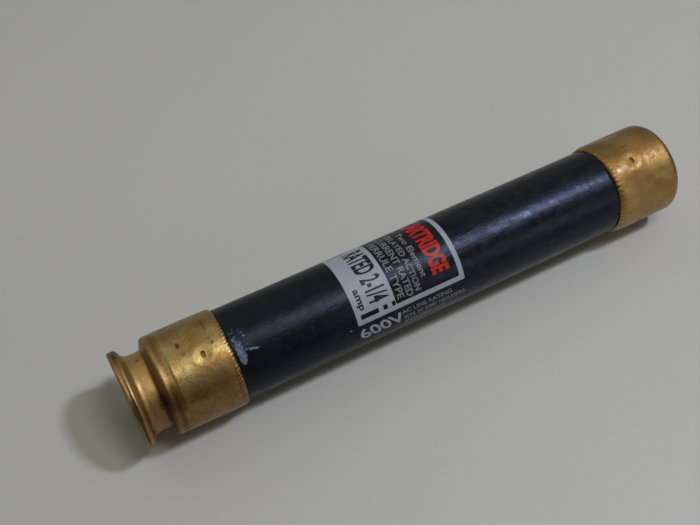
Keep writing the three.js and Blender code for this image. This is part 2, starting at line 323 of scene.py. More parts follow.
def ink(name, colour, worn):
    """Printed ink, a little worn and speckled."""
    look = Look(name, Specular_IOR_Level=0.3)
    wear = look.between(look.grain(0.7, 3, 5, 0.7), 0.42, 0.75)
    cloudy = look.between(look.grain(4, 8, 4, 0.6), 0.3, 0.75)
    specks = look.specks(0.7, 0.12, 6)
    tone = look.layered(colour, (wear, 0.45, worn), (cloudy, 0.25, worn), (specks, 0.5, worn))
    return look.finish(tone, look.spread(wear, 0.4, 0.57), wear, 0.004)


def plain_stuff(name, light, dark, rough, size, depth, metal=0.0, stretch=(1, 1, 1)):
    """A material in two tones of one colour with a grain; the streaks of turned metal use stretch."""
    look = Look(name, Metallic=metal)
    cloudy = look.between(look.grain(size * 6, 2, 4, 0.6), 0.32, 0.68)
    grain = look.between(look.grain(size, 6, 4, 0.6, stretch), 0.3, 0.7)
    tone = look.layered(light, (cloudy, 0.6, dark), (grain, 0.45, dark))
    return look.finish(tone, look.spread(grain, rough - 0.05, rough + 0.08), grain, depth)


def floor_laminate():
    look = Look("floor_laminate", Specular_IOR_Level=0.35)
    cloudy = look.between(look.grain(60, 1, 3, 0.5), 0.3, 0.7)
    fine = look.between(look.grain(0.9, 4, 3, 0.6), 0.3, 0.7)
    colour = look.blend(cloudy, (0.545, 0.54, 0.53), (0.53, 0.527, 0.52))
    colour = look.layered(colour, (fine, 0.35, (0.5, 0.497, 0.49)))
    return look.finish(colour, look.spread(fine, 0.42, 0.5), fine, 0.01)


TURNED = (1, 30, 30)
# Light tone, dark tone, roughness, size of grain and depth of bump. How metallic it is and how the grain
# is stretched follow where they matter.
STUFFS = {
    "tube_fibre": ((0.006, 0.006, 0.008), (0.003, 0.003, 0.004), 0.9, 0.4, 0.02),
    "washer_fibre": ((0.2, 0.18, 0.15), (0.11, 0.1, 0.085), 0.8, 0.35, 0.03),
    "solder": ((0.5, 0.51, 0.52), (0.3, 0.31, 0.32), 0.36, 0.5, 0.03, 1.0),
    "quartz_sand": ((0.62, 0.56, 0.44), (0.36, 0.31, 0.23), 0.85, 0.3, 0.06),
    "link_copper": ((0.66, 0.33, 0.2), (0.5, 0.22, 0.13), 0.26, 0.4, 0.008, 1.0, (12, 1, 1)),
    "sleeve_paper": ((0.3, 0.2, 0.11), (0.17, 0.11, 0.06), 0.75, 0.3, 0.03, 0.0, (3, 1, 1)),
    "ceramic": ((0.72, 0.68, 0.6), (0.56, 0.51, 0.43), 0.5, 0.3, 0.02),
    "spring_steel": ((0.42, 0.43, 0.45), (0.24, 0.245, 0.26), 0.3, 0.3, 0.008, 1.0),
    "resistance_wire": ((0.26, 0.24, 0.21), (0.12, 0.1, 0.085), 0.42, 0.2, 0.008, 1.0),
    "inner_brass": ((0.62, 0.44, 0.17), (0.4, 0.27, 0.1), 0.28, 0.2, 0.01, 1.0, TURNED),
    "plunger_copper": ((0.6, 0.28, 0.16), (0.4, 0.17, 0.09), 0.3, 0.2, 0.01, 1.0, TURNED),
}
# Clean, aged and red colour, shift of the patterns, least and most roughness.
BRASSES = {
    "rejection_brass": ((0.49, 0.398, 0.172), (0.36, 0.215, 0.068), (0.21, 0.1, 0.035), 0.0, 0.31, 0.52),
    "plain_brass": ((0.37, 0.26, 0.086), (0.26, 0.136, 0.038), (0.22, 0.1, 0.045), 20.0, 0.3, 0.62),
}
# Fresh and worn colour.
INKS = {
    "silver_ink": ((0.36, 0.385, 0.47), (0.26, 0.28, 0.345)),
    "black_ink": ((0.003, 0.003, 0.005), (0.008, 0.008, 0.011)),
    "white_ink": ((0.23, 0.24, 0.26), (0.07, 0.07, 0.08)),
    "red_ink": ((0.5, 0.014, 0.006), (0.27, 0.01, 0.008)),
}


def make_materials():
    """One material for each of the record's slots, and one for each ink."""
    kinds = ((plain_stuff, STUFFS), (aged_brass, BRASSES), (ink, INKS))
    made = {name: maker(name, *facts) for maker, kind in kinds for name, facts in kind.items()}
    made["label_film"] = label_film()
    return made


# ---------------- shape tools

def around(x, radius, angle):
    """Points at a radius from the fuse's axis."""
    x, radius, angle = np.broadcast_arrays(x, radius, angle)
    return np.stack([x, radius * np.sin(angle), radius * np.cos(angle)], axis=-1)


def ease(value, low, high):
    """0 below low, 1 above high, and a smooth rise between."""
    t = np.clip((value - low) / (high - low), 0, 1)
    return t * t * (3 - 2 * t)


def bell(value, middle, width):
    """1 at the middle, falling to nothing on both sides."""
    return np.exp(-(((value - middle) / width) ** 2))


def turn_from(angle, start):
    """How far an angle is from start, the short way round."""
    return (angle - start + math.pi) % TURN - math.pi


def ripples(x, angle, seed, finest=9, pace=0.35, count=24):
    """Unevenness of about -1 to 1, made of waves that run round and along the fuse."""
    chance = np.random.default_rng(seed)
    waves = zip(chance.integers(1, finest, count), chance.normal(0, pace, count), chance.random(count))
    total = sum(np.cos(turns * angle + along * x + TURN * phase) for turns, along, phase in waves)
    return total / math.sqrt(2 * count)


def arc(x, radius, size, start, end, steps=10):
    """Points of an arc in the (x, radius) plane, its angles in degrees from +X towards outward."""
    angles = np.radians(np.linspace(start, end, steps + 1))
    return [(x + size * math.cos(a), radius + size * math.sin(a)) for a in angles]


def eased(outline, size=0.12, closed=False, steps=3):
    """An outline with its corners rounded off, apart from an open outline's two ends."""
    corners = [np.array(p, float) for p in outline]
    count = len(corners)
    result = []
    for i, corner in enumerate(corners):
        if not closed and i in (0, count - 1):
            result.append(corner)
            continue
        before, after = corners[i - 1] - corner, corners[(i + 1) % count] - corner
        lengths = np.linalg.norm(before), np.linalg.norm(after)
        first = corner + before * min(size / lengths[0], 0.45)
        last = corner + after * min(size / lengths[1], 0.45)
        for t in np.linspace(0, 1, steps + 1):
            result.append((1 - t) ** 2 * first + 2 * t * (1 - t) * corner + t**2 * last)
    return result + result[:1] if closed else result


def divided(outline, longest):
    """The same outline with no step longer than a given length."""
    outline = [np.array(p, float) for p in outline]
    result = [outline[0]]
    for a, b in zip(outline, outline[1:]):
        pieces = max(1, math.ceil(np.linalg.norm(b - a) / longest - 1e-6))
        result += [a + (b - a) * k / pieces for k in range(1, pieces + 1)]
    return np.array(result)


def moved(outline, shift):
    """The same outline further along X."""
    return [(x + shift, radius) for x, radius in outline]


def grid_faces(rows, columns):
    """Faces of a grid of points whose last column joins its first."""
    i = np.arange(rows - 1)[:, None] * columns
    j = np.arange(columns)[None, :]
    k = (j + 1) % columns
    return np.stack([i + j, i + k, i + columns + k, i + columns + j], axis=-1).reshape(-1, 4)


CREASE = 35


def shade(mesh, crease=CREASE):
    """Smooth shading, apart from edges sharper than an angle in degrees."""
    mesh.shade_smooth()
    mesh.set_sharp_from_angle(angle=math.radians(crease))


def new_piece(name, points, faces, crease=CREASE):
    """An object from points in millimetres, with doubled points merged and all its faces outward."""
    mesh = bpy.data.meshes.new(name)
    mesh.from_pydata((np.reshape(points, (-1, 3)) * MM).tolist(), [], [list(f) for f in faces])
    work = bmesh.new()
    work.from_mesh(mesh)
    bmesh.ops.remove_doubles(work, verts=work.verts, dist=1e-4 * MM)
    bmesh.ops.recalc_face_normals(work, faces=work.faces)
    work.to_mesh(mesh)
    work.free()
    shade(mesh, crease)
    return link(bpy.data.objects.new(name, mesh))


def turned(name, outside, inside=(), columns=144, longest=0.8, reshape=None,
           inner_step=None, face_step=None):
    """A piece turned about the fuse's axis. reshape moves the outside's points from x, radius, angle.

    The inside, and the flat face that the outside starts with, can have longer steps of their own.
    """
    face = divided(outside[:2], face_step or longest)
    outer = np.concatenate([face, divided(outside[1:], longest)[1:]])
    inner = divided([outside[-1], *inside], inner_step or longest)[1:]
    rows = np.concatenate([outer, inner]) if len(inside) else outer
    angle = np.arange(columns) * TURN / columns
    x, radius, angle = np.broadcast_arrays(rows[:, :1], rows[:, 1:], angle)
    x, radius = x.copy(), radius.copy()
    if reshape:
        top = slice(0, len(outer))
        x[top], radius[top] = reshape(x[top], radius[top], angle[top])
    return new_piece(name, around(x, radius, angle), grid_faces(len(rows), columns).tolist())


def made_mesh(obj):
    """The mesh that Blender makes of an object's curve or modifiers."""
    bpy.context.view_layer.update()
    return bpy.data.meshes.new_from_object(obj.evaluated_get(bpy.context.evaluated_depsgraph_get()))


def cut(piece, cutter):
    """Takes cutter's solid out of piece, and removes cutter."""
    modifier = piece.modifiers.new("cut", "BOOLEAN")
    modifier.operation = "DIFFERENCE"
    modifier.solver = "MANIFOLD"
    modifier.object = cutter
    mesh = made_mesh(piece)
    piece.modifiers.remove(modifier)
    piece.data = mesh
    bpy.data.objects.remove(cutter)
    shade(mesh)


def block(name, low, high):
    """A box as a cutter, between two corners in millimetres."""
    corners = [(x, y, z) for x in (low[0], high[0]) for y in (low[1], high[1]) for z in (low[2], high[2])]
    faces = [(0, 1, 3, 2), (4, 5, 7, 6), (0, 1, 5, 4), (2, 3, 7, 6), (0, 2, 6, 4), (1, 3, 7, 5)]
    return new_piece(name, np.array(corners, float), faces)


def tube_along(name, path, radius, sides=12):
    """A round wire with domed ends along points in millimetres."""
    path = np.array(path, float)
    ahead = np.gradient(path, axis=0)
    ahead /= np.linalg.norm(ahead, axis=1, keepdims=True)
    across = np.cross(ahead, [1.0, 0.0, 0.0])
    across /= np.linalg.norm(across, axis=1, keepdims=True)
    up = np.cross(ahead, across)
    dome = np.radians([0, 30, 60])
    growth, reach = radius * np.sin(dome), radius * np.cos(dome)
    sizes = np.concatenate([growth, np.full(len(path), radius), growth[::-1]])
    push = np.concatenate([-reach, np.zeros(len(path)), reach[::-1]])
    order = np.concatenate([[0] * len(dome), np.arange(len(path)), [-1] * len(dome)])
    middles = path[order] + ahead[order] * push[:, None]
    angle = np.arange(sides) * TURN / sides
    spokes = across[order][:, None] * np.cos(angle)[:, None] + up[order][:, None] * np.sin(angle)[:, None]
    points = middles[:, None] + spokes * sizes[:, None, None]
    return new_piece(name, points, grid_faces(len(middles), sides).tolist())


def keep(piece, slot, node=None, body=CARTRIDGE, material=None):
    """Gives a piece the material named by its slot and its body, and lets it stand for a CAD node."""
    piece.data.materials.clear()
    piece.data.materials.append(materials[material or slot])
    if node:
        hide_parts(node)
    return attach(piece, body)


def span(node):
    """A turned node's start and end along X and its radius, in millimetres."""
    low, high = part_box(node)
    return low.x / MM, high.x / MM, high.z / MM


def carry(piece, **layers):
    """Lets a piece's mesh carry numbers from 0 to 1 at each of its points."""
    for name, values in layers.items():
        layer = piece.data.attributes.new(name, "FLOAT", "POINT")
        layer.data.foreach_set("value", np.clip(values, 0, 1).astype(np.float32))


def places(piece):
    """The x, radius and angle of each point of a piece's mesh, in millimetres and radians."""
    points = np.empty(3 * len(piece.data.vertices), np.float32)
    piece.data.vertices.foreach_get("co", points)
    x, y, z = points.reshape(-1, 3).T.astype(float) / MM
    return x, np.hypot(y, z), np.arctan2(y, z)


# ---------------- ferrules

PRINT_TURN = math.radians(-29.9)
*_, FERRULE_RADIUS = np.round(span("rejection_ferrule"), 3)
FERRULE_BORE, END_WALL = 9.52, 0.8
FERRULE_COLUMNS, FERRULE_STEP = 504, 0.2
COARSE_STEPS = {"inner_step": 4, "face_step": 0.5}
UNEVENNESS = 0.035
STAKE_COUNT, DISH_RADIUS, DISH_DEPTH, DISH_RIM = 4, 1.9, 0.12, 0.025
PIT_LENGTH, PIT_WIDTH, PIT_COLUMNS = 0.9, 1.45, 24
# Heights over the dish's bottom, from a pit's floor to above its mouth, with its share of the full size.
PIT_LEVELS = ((-0.3, 0.3), (-0.18, 0.4), (0.06, 0.52), (0.3, 0.6))


def print_angle(degrees):
    return math.radians(degrees) + PRINT_TURN


def stake_angles(first):
    return [first + TURN * i / STAKE_COUNT for i in range(STAKE_COUNT)]


def stake_distance(x, angle, mark):
    """The distance over the surface to the nearest of a ferrule's stake marks."""
    far = [np.hypot(x - mark[0], FERRULE_RADIUS * turn_from(angle, a)) for a in stake_angles(mark[1])]
    return np.min(far, axis=0)


def staked(x, angle, mark):
    """How far the stake marks move the surface: a dish with a low rim round it."""
    distance = stake_distance(x, angle, mark)
    bowl = np.clip(1 - (distance / DISH_RADIUS) ** 2, 0, None) ** 2
    return DISH_RIM * bell(distance, 1.1 * DISH_RADIUS, 0.6) - DISH_DEPTH * bowl


def punch_pits(piece, mark):
    """Cuts the stake marks' pits part of the way into a ferrule's wall."""
    points, faces = [], []
    turn = np.arange(PIT_COLUMNS) * TURN / PIT_COLUMNS
    for angle in stake_angles(mark[1]):
        first = len(points)
        up = around(0.0, 1.0, angle)
        side = around(0.0, 1.0, angle + math.pi / 2)
        for height, size in PIT_LEVELS:
            middle = np.array([mark[0], 0, 0]) + (FERRULE_RADIUS - DISH_DEPTH + height) * up
            along = np.outer(np.cos(turn), [PIT_LENGTH * size, 0, 0])
            points += list(middle + along + np.outer(PIT_WIDTH * size * np.sin(turn), side))
        last = len(points) - PIT_COLUMNS
        faces += (grid_faces(len(PIT_LEVELS), PIT_COLUMNS) + first).tolist()
        faces += [list(range(start, start + PIT_COLUMNS)) for start in (first, last)]
    cut(piece, new_piece("pit_punch", np.array(points), faces))


def pit_shade(distance, radius):
    """Painted shade in the stake marks' pits, darkest at their bottom."""
    return 0.45 * (distance < 1.0) * (1 - ease(radius, FERRULE_RADIUS - 0.38, FERRULE_RADIUS - 0.2))


def facing(angle, degrees, low, high):
    """1 on a ferrule's side that faces an angle in degrees, and 0 on the side away from it."""
    return ease(np.cos(angle - math.radians(degrees)), low, high)


def rings(from_end, table):
    """The sum of rings round a ferrule, each a distance from its end, a half width and a strength."""
    return sum(strength * bell(from_end, place, width) for place, width, strength in table)


def marks(x, angle, patches, hard):
    """The sum of oval marks, each a place, a print angle, two half sizes and a strength."""
    total = np.zeros_like(x)
    for middle, turn, half_length, half_width, strength in patches:
        across = FERRULE_RADIUS * turn_from(angle, print_angle(turn))
        away = np.hypot((x - middle) / half_length, across / half_width)
        total += strength * (1 - ease(away, hard, 1.3))
    return total


def mouth_teeth(x, angle, mouth, inward, count, length, slant=0.0):
    """0 to 1 over the rounded teeth that the crimping tool left along a ferrule's mouth."""
    depth_in = (x - mouth) * inward
    near = 1 - ease(depth_in, 0.5 * length, length)
    uneven = ripples(0 * x, angle, 8, 30)
    return near * np.cos(0.5 * (count * angle + slant * depth_in + uneven)) ** 2


REJECTION_STAKE = (-47.66, math.radians(-17.55))
REJECTION_TEETH = {"count": 84, "length": 1.3, "slant": 3.0}
REJECTION_TOOTH_DEPTH = 0.055
# The part of the rim that is bent: its groove closes and its edge leans away from the fuse.
RIM_BEND = {"degrees": 45, "low": 0.3, "high": 0.9}
RIM_GROWTH, RIM_LEAN = 0.1, 0.3
# Rings of dirt and painted shade in the hollows, of painted shade in the recess's upper half and the rim's
# groove, and of wear and painted highlights on the shoulder's top and the rim's crests. Those of the rim
# fade where it is bent, and the upper ones are on top only.
DIRT_AND_SHADE_RINGS = ((5.95, 0.5, 0.2), (6.6, 0.4, 0.12), (2.1, 0.35, 0.16), (7.95, 0.45, 0.24), (8.5, 0.55, 0.06))
UPPER_RECESS_SHADE = ((8.5, 0.55, 0.16),)
UPPER_HIGHLIGHTS = ((7.2, 0.35, 0.2), (9.6, 0.5, 0.3))
RIM_GROOVE_SHADE = ((0.7, 0.2, 0.55),)
RIM_WEAR_AND_HIGHLIGHTS = ((0.25, 0.15, 0.4), (1.15, 0.25, 0.5))
# Marks of dirt, each a place, a print angle, two half sizes and a strength. The fourth brown patch is
# painted shade on the rim's lower slope.
SPOTS = ((-51.4, 32.8, 0.35, 0.75, 0.75), (-51.1, 21, 0.6, 0.5, 0.35), (-48.7, 34, 0.3, 0.25, 0.4),
         (-45.5, 26.5, 0.35, 0.2, 0.5), (-45.2, 20.3, 0.25, 0.35, 0.6), (-45.3, 48, 0.3, 1.9, 0.4),
         (-59.15, 49, 0.3, 0.3, 0.8), (-47.0, -75, 0.5, 0.3, 0.7))
BROWN_AND_SHADE_PATCHES = ((-56.2, -19, 2.6, 3.0, 0.4), (-50.6, -24, 3.4, 2.2, 0.16),
                 (-45.8, -20, 2.0, 2.6, 0.14), (-62.8, -16, 0.6, 2.8, 1.4), (-62.6, 70, 1.4, 6.0, 0.6))


def rejection_ferrule():
    end, mouth, _ = np.round(span("rejection_ferrule"), 3)
    length, rim, neck, shoulder = mouth - end, 10.0, 8.05, 7.25
    outside = [
        (0, 0),
        *arc(0.34, rim - 0.34, 0.34, 180, 95, 6),
        *eased([(0.45, rim), (0.6, rim - 0.12), (0.8, rim - 0.14), (0.98, rim - 0.02), (1.25, rim - 0.03),
                (1.55, rim - 0.27), (1.8, rim - 0.7)], 0.09),
        *arc(3.2, neck + 1.35, 1.35, 195, 270, 9),
        *arc(5.5, neck + 0.3, 0.3, 270, 330, 4),
        *arc(shoulder, FERRULE_RADIUS - 1, 1, 165, 90, 9),
        *eased([(7.6, FERRULE_RADIUS - 0.03), (8.1, FERRULE_RADIUS - 0.09), (9.0, FERRULE_RADIUS - 0.08),
                (9.4, FERRULE_RADIUS), (9.8, FERRULE_RADIUS)], 0.25),
        (length - 2.4, FERRULE_RADIUS),
        (length - 1.5, FERRULE_RADIUS - 0.05),
        *arc(length - 0.75, FERRULE_RADIUS - 0.82, 0.75, 90, 20, 6),
        (length, 9.66),
    ]
    inside = [
        *((length, FERRULE_BORE), (7.6, FERRULE_BORE), (7.1, 9.2), (6.3, 7.6), (5.9, 7.3)),
        *((2.9, 7.3), (2.3, 7.45), (1.15, 8.5), (END_WALL, 8.2), (END_WALL, 0)),
    ]

    def worn(x, radius, angle):
        full = ease(radius, 1.0, 6.0)
        teeth = mouth_teeth(x, angle, mouth, -1, **REJECTION_TEETH)
        near_mouth = 1 - ease(mouth - x, 0.2, 1.5)
        barrel = ease(x, end + 9.6, end + 10.5)
        radius = radius + full * UNEVENNESS * ripples(x, angle, 3)
        radius = radius + barrel * staked(x, angle, REJECTION_STAKE)
        dent = np.clip(0.8 + 0.9 * ripples(x, angle, 6, 30, 0.5), 0.1, None)
        radius = radius - REJECTION_TOOTH_DEPTH * near_mouth * (1 - teeth) * dent
        bent = facing(angle, **RIM_BEND) * ease(radius, 5, 9)
        radius = radius + RIM_GROWTH * bent * bell(x, end + 0.7, 0.2)
        x = x - RIM_LEAN * bent * (1 - ease(x, end + 0.2, end + 1.5))
        x = x + near_mouth * 0.08 * ripples(x, angle, 4, 60, 0) + near_mouth * 0.06 * teeth
        return x + 0.03 * full * ripples(0 * x, angle, 5, 7), radius

    piece = turned("rejection_ferrule_shell", moved(outside, end), moved(inside, end),
                   FERRULE_COLUMNS, FERRULE_STEP, worn, **COARSE_STEPS)
    punch_pits(piece, REJECTION_STAKE)
    x, radius, angle = places(piece)
    from_end = x - end
    teeth = mouth_teeth(x, angle, mouth, -1, **REJECTION_TEETH)
    in_band = 1 - ease(mouth - x, 0.5, 1.5)
    distance = stake_distance(x, angle, REJECTION_STAKE)
    upper = facing(angle, 15, -0.1, 0.8)
    lower = facing(angle, -75, 0.75, 0.97)
    on_rim = (radius > 9) * (1 - 0.8 * facing(angle, **RIM_BEND))
    # Painted shade on the underside and in the hollows, with dirt all over.
    grime = 0.06 + 0.32 * lower + rings(from_end, DIRT_AND_SHADE_RINGS)
    grime += upper * rings(from_end, UPPER_RECESS_SHADE) + on_rim * rings(from_end, RIM_GROOVE_SHADE)
    # Painted shade between the mouth's teeth and in the stake pits.
    grime += 0.5 * in_band * (1 - teeth) ** 3 + pit_shade(distance, radius)
    grime += marks(x, angle, SPOTS, 0.6) + marks(x, angle, BROWN_AND_SHADE_PATCHES, 0.2)
    # Wear, partly painted highlights: on the teeth, round the dish rims, on the shoulder's top and on the
    # rim's crests.
    wear = 0.55 * in_band * teeth**2 + 0.2 * bell(distance, 1.12 * DISH_RADIUS, 0.3)
    wear += upper * rings(from_end, UPPER_HIGHLIGHTS) + on_rim * rings(from_end, RIM_WEAR_AND_HIGHLIGHTS)
    waist = ease(from_end, 1.5, 1.9) * (1 - ease(from_end, 6.6, 7.1))
    # The lower share is a painted reflection of the floor; the waist and rim shares are the metal's tone.
    coppery = 0.65 * waist + 0.35 * (from_end < 1.8) + 0.4 * lower
    carry(piece, coppery=coppery, grime=grime, wear=wear)
    keep(piece, "rejection_brass", "rejection_ferrule")


PLAIN_CORNER = 1.9
PLAIN_STAKE = (53.38, math.radians(-14.48))
PLAIN_TEETH = {"count": 60, "length": 1.5}
PLAIN_TOOTH_DEPTH = 0.05
RING_MARK = (58.3, 11, 0.7)
PLAIN_PATCHES = ((52.8, -2, 2.6, 0.9, 0.3), (55.6, -14, 1.4, 1.2, 0.3), (57.4, -22, 2.0, 0.8, 0.35),
                 (54.0, 37, 1.2, 0.4, 0.4), (49.6, 60, 2.0, 2.5, 0.2))
COPPERY_PATCHES = ((50.5, -30, 2.2, 3.0, 1.0), (56.0, 42, 3.5, 2.5, 1.0), (60.5, 5, 1.5, 2.5, 0.8))


def plain_ferrule():
    mouth, end, _ = np.round(span("plain_ferrule"), 3)
    inner_corner = PLAIN_CORNER - END_WALL
    outside = [
        (end, 0),
        *arc(end - PLAIN_CORNER, FERRULE_RADIUS - PLAIN_CORNER, PLAIN_CORNER, 0, 90, 14),
        (mouth + 2.4, FERRULE_RADIUS),
        (mouth + 1.5, FERRULE_RADIUS - 0.05),
        (mouth + 0.9, FERRULE_RADIUS - 0.13),
        (mouth + 0.45, FERRULE_RADIUS - 0.26),
        (mouth + 0.15, FERRULE_RADIUS - 0.45),
        (mouth + 0.03, FERRULE_RADIUS - 0.62),
    ]
    inside = [
        (mouth, FERRULE_BORE),
        *arc(end - PLAIN_CORNER, FERRULE_BORE - inner_corner, inner_corner, 90, 0, 5),
        (end - END_WALL, 0),
    ]

    def ring_distance(x, angle):
        return np.hypot(x - RING_MARK[0], FERRULE_RADIUS * turn_from(angle, print_angle(RING_MARK[1])))

    def worn(x, radius, angle):
        full = ease(radius, 1.0, 6.0)
        teeth = mouth_teeth(x, angle, mouth, 1, **PLAIN_TEETH)
        near_mouth = 1 - ease(x - mouth, 0.3, 1.35)
        barrel = 1 - ease(x, end - 3, end - 2)
        groove = bell(ring_distance(x, angle), RING_MARK[2], 0.16)
        radius = radius + full * UNEVENNESS * ripples(x, angle, 13)
        radius = radius + barrel * staked(x, angle, PLAIN_STAKE)
        dent = np.clip(0.8 + 0.9 * ripples(x, angle, 16, 20, 0.3), 0.1, None)
        rolled = ease(x - mouth, 0.03, 0.4)
        radius = radius - PLAIN_TOOTH_DEPTH * near_mouth * rolled * (1 - teeth) * dent - 0.02 * groove
        x = x - near_mouth * 0.06 * teeth + near_mouth * 0.05 * ripples(x, angle, 14, 30, 0)
        return x + 0.02 * full * ripples(0 * x, angle, 15, 7), radius

    piece = turned("plain_ferrule_shell", outside, inside,
                   FERRULE_COLUMNS, FERRULE_STEP, worn, **COARSE_STEPS)
    punch_pits(piece, PLAIN_STAKE)
    x, radius, angle = places(piece)
    teeth = mouth_teeth(x, angle, mouth, 1, **PLAIN_TEETH)
    in_band = 1 - ease(x - mouth, 0.5, 1.4)
    distance = stake_distance(x, angle, PLAIN_STAKE)
    # Painted shade between the teeth, and dirt in the ring mark.
    grime = 0.25 * in_band * (1 - teeth) ** 3 + 0.2 * bell(ring_distance(x, angle), RING_MARK[2], 0.2)
    # Painted shade along the line where the end's corner rounds away.
    grime += 1.1 * bell(x, end - 0.8, 0.25) * ease(radius, 8.5, 9.5)
    grime += marks(x, angle, PLAIN_PATCHES, 0.3) + pit_shade(distance, radius)
    # Wear, partly painted highlights on the teeth and round the dish rim.
    wear = 0.8 * in_band * teeth**2 + 0.4 * bell(distance, 1.12 * DISH_RADIUS, 0.3)
    wear += 0.5 * bell(x, end - 1.5, 0.4)
    # The share under the ferrule is a painted reflection of the floor; the rest is the metal's tone.
    under = facing(angle, -95, 0.5, 0.95)
    coppery = 0.12 + 0.3 * under + 0.35 * marks(x, angle, COPPERY_PATCHES, 0.3)
    carry(piece, coppery=coppery, grime=grime, wear=wear)
    keep(piece, "plain_brass", "plain_ferrule")


# ---------------- tube and label

TUBE_BORE = 7.4
LABEL_BORE = 9.47
SEAM_ANGLE, SEAM_STEP = math.radians(158), 0.06
SMEAR_END, SMEAR_STEP = -36.5, 0.12
# Dried glue, each patch a place, a print angle, two half sizes and a strength.
DROP = ((-40.95, 7, 0.95, 1.0, 0.6), (-40.95, 1.5, 0.95, 1.0, 0.7), (-40.95, -3.5, 0.95, 1.0, 0.95),
        (-40.9, -8.5, 0.95, 0.9, 1.0), (-40.95, -12.0, 0.85, 0.8, 1.0), (-41.0, -14.8, 0.55, 0.6, 1.0))
TAIL = ((-39.6, -2.2, 0.8, 0.28, 0.75), (-38.7, -3.8, 0.8, 0.26, 1.0), (-37.8, -5.2, 0.7, 0.22, 0.85))
HAZE = ((-41.2, 13, 0.8, 1.2, 0.5), (-39.3, 2, 1.4, 0.9, 0.4), (-39.2, 14, 0.3, 0.3, 0.85),
        (-41.0, 24, 1.2, 1.4, 0.44), (-39.4, 20, 1.4, 1.3, 0.42))
FLECK = ((-19.2, -36, 0.35, 0.3, 0.8),)
SMEARS = (*DROP, *TAIL, *HAZE, *FLECK)


def fuse_tube():
    start, end, radius = span("fuse_tube")
    corners = [(start, TUBE_BORE), (start, radius), (end, radius), (end, TUBE_BORE)]
    piece = turned("fuse_tube_body", eased(corners, 0.15, closed=True), columns=192, longest=1.2)
    keep(piece, "tube_fibre", "fuse_tube")


def label_wrap():
    start, end, radius = span("label_wrap")

    def seamed(x, r, angle):
        after = turn_from(angle, SEAM_ANGLE)
        step = SEAM_STEP * (after > 0) * (1 - ease(after, 0.05, 0.5))
        edge = 1 - ease(np.minimum(x - start, end - x), 0, 0.6)
        outer = ease(r, radius - 0.06, radius - 0.02)
        ragged = 0.06 * edge * ripples(0 * x, angle, 21, 40)
        return x + ragged, r + outer * step

    smeared = [(x, radius) for x in np.arange(start + SMEAR_STEP, SMEAR_END, SMEAR_STEP)]
    outside = [(start, LABEL_BORE), (start, radius), *smeared, (end, radius), (end, LABEL_BORE)]
    piece = turned("label_wrap_film", outside, [(start, LABEL_BORE)], columns=432,
                   reshape=seamed, inner_step=8)
    x, _, angle = places(piece)
    smear = np.zeros_like(x)
    for middle, turn, half_length, half_width, strength in SMEARS:
        across = radius * turn_from(angle, print_angle(turn))
        away = np.hypot((x - middle) / half_length, across / half_width)
        smear = np.maximum(smear, strength * (1 - ease(away, 0.55, 1.25)))
    carry(piece, smear=smear)
    keep(piece, "label_film", "label_wrap")


# ---------------- print on the label

# Depth of the ink, and the share of it that is sunk in the label.
INK, SUNK = 0.02, 0.2
STRIP = 0.5
CAPITAL_HEIGHT = 0.682
LABEL_RADIUS = span("label_wrap")[2]
THIN, ITALIC = 0.015, -0.25
SHARP = 0.05


def flat_mesh(curve):
    """The solid mesh of a flat curve or text that stands one unit deep, in the curve's own units."""
    holder = link(bpy.data.objects.new("flat", curve))
    mesh = made_mesh(holder)
    bpy.data.objects.remove(holder)
    work = bmesh.new()
    work.from_mesh(mesh)
    bmesh.ops.remove_doubles(work, verts=work.verts, dist=1e-5)
    return work


def unpacked(work):
    """A flat mesh's points and faces."""
    work.verts.index_update()
    points = np.array([vertex.co[:] for vertex in work.verts])
    faces = [[vertex.index for vertex in face.verts] for face in work.faces]
    work.free()
    return points, faces


def lettering(text, height, width, weight=0.0, slope=0.0):
    """Letters with capitals of a height, squeezed or drawn out to a width, in millimetres."""
    curve = bpy.data.curves.new("lettering", "FONT")
    curve.body = text
    curve.offset = weight
    curve.shear = slope
    curve.resolution_u = 3
    curve.extrude = 0.5
    work = flat_mesh(curve)
    left, right = (f(v.co.x for v in work.verts) for f in (min, max))
    for vertex in work.verts:
        vertex.co.x = (vertex.co.x - left) * width / (right - left)
        vertex.co.y *= height / CAPITAL_HEIGHT
    return work


def flat_shape(loops):
    """A flat shape from closed outlines, those inside the first being holes, in millimetres."""
    curve = bpy.data.curves.new("shape", "CURVE")
    curve.dimensions = "2D"
    curve.fill_mode = "BOTH"
    curve.extrude = 0.5
    for loop in loops:
        spline = curve.splines.new("POLY")
        spline.points.add(len(loop) - 1)
        for point, (u, v) in zip(spline.points, loop):
            point.co = (u, v, 0, 1)
        spline.use_cyclic_u = True
    return flat_mesh(curve)


def bend(work, x, degrees, round_the_fuse, lift=0.0):
    """Cuts a flat mesh in narrow strips and lays it on the label, from a start x and print angle.

    Its lines run along the fuse, or round it with the letters' tops towards +X. Returns points and faces.
    """
    across = 0 if round_the_fuse else 1
    normal = (1, 0, 0) if round_the_fuse else (0, 1, 0)
    reach = [v.co[across] for v in work.verts]
    for place in np.arange(min(reach) + STRIP, max(reach), STRIP):
        everything = [*work.verts, *work.edges, *work.faces]
        bmesh.ops.bisect_plane(work, geom=everything, plane_co=Vector(normal) * place, plane_no=normal)
    points, faces = unpacked(work)
    u, v, w = points.T
    radius = LABEL_RADIUS + INK * (w + 0.5 - SUNK) + lift
    start = print_angle(degrees)
    if round_the_fuse:
        return around(x + v, radius, start - u / LABEL_RADIUS), faces
    return around(x + u, radius, start + v / LABEL_RADIUS), faces


def printed(name, ink_name, parts):
    """One piece from several bent parts, in one ink."""
    points, faces = [], []
    for part_points, part_faces in parts:
        shift = len(points)
        points += list(part_points)
        faces += [[index + shift for index in face] for face in part_faces]
    piece = new_piece(name, np.array(points), faces, crease=60)
    keep(piece, "label_film", material=ink_name)


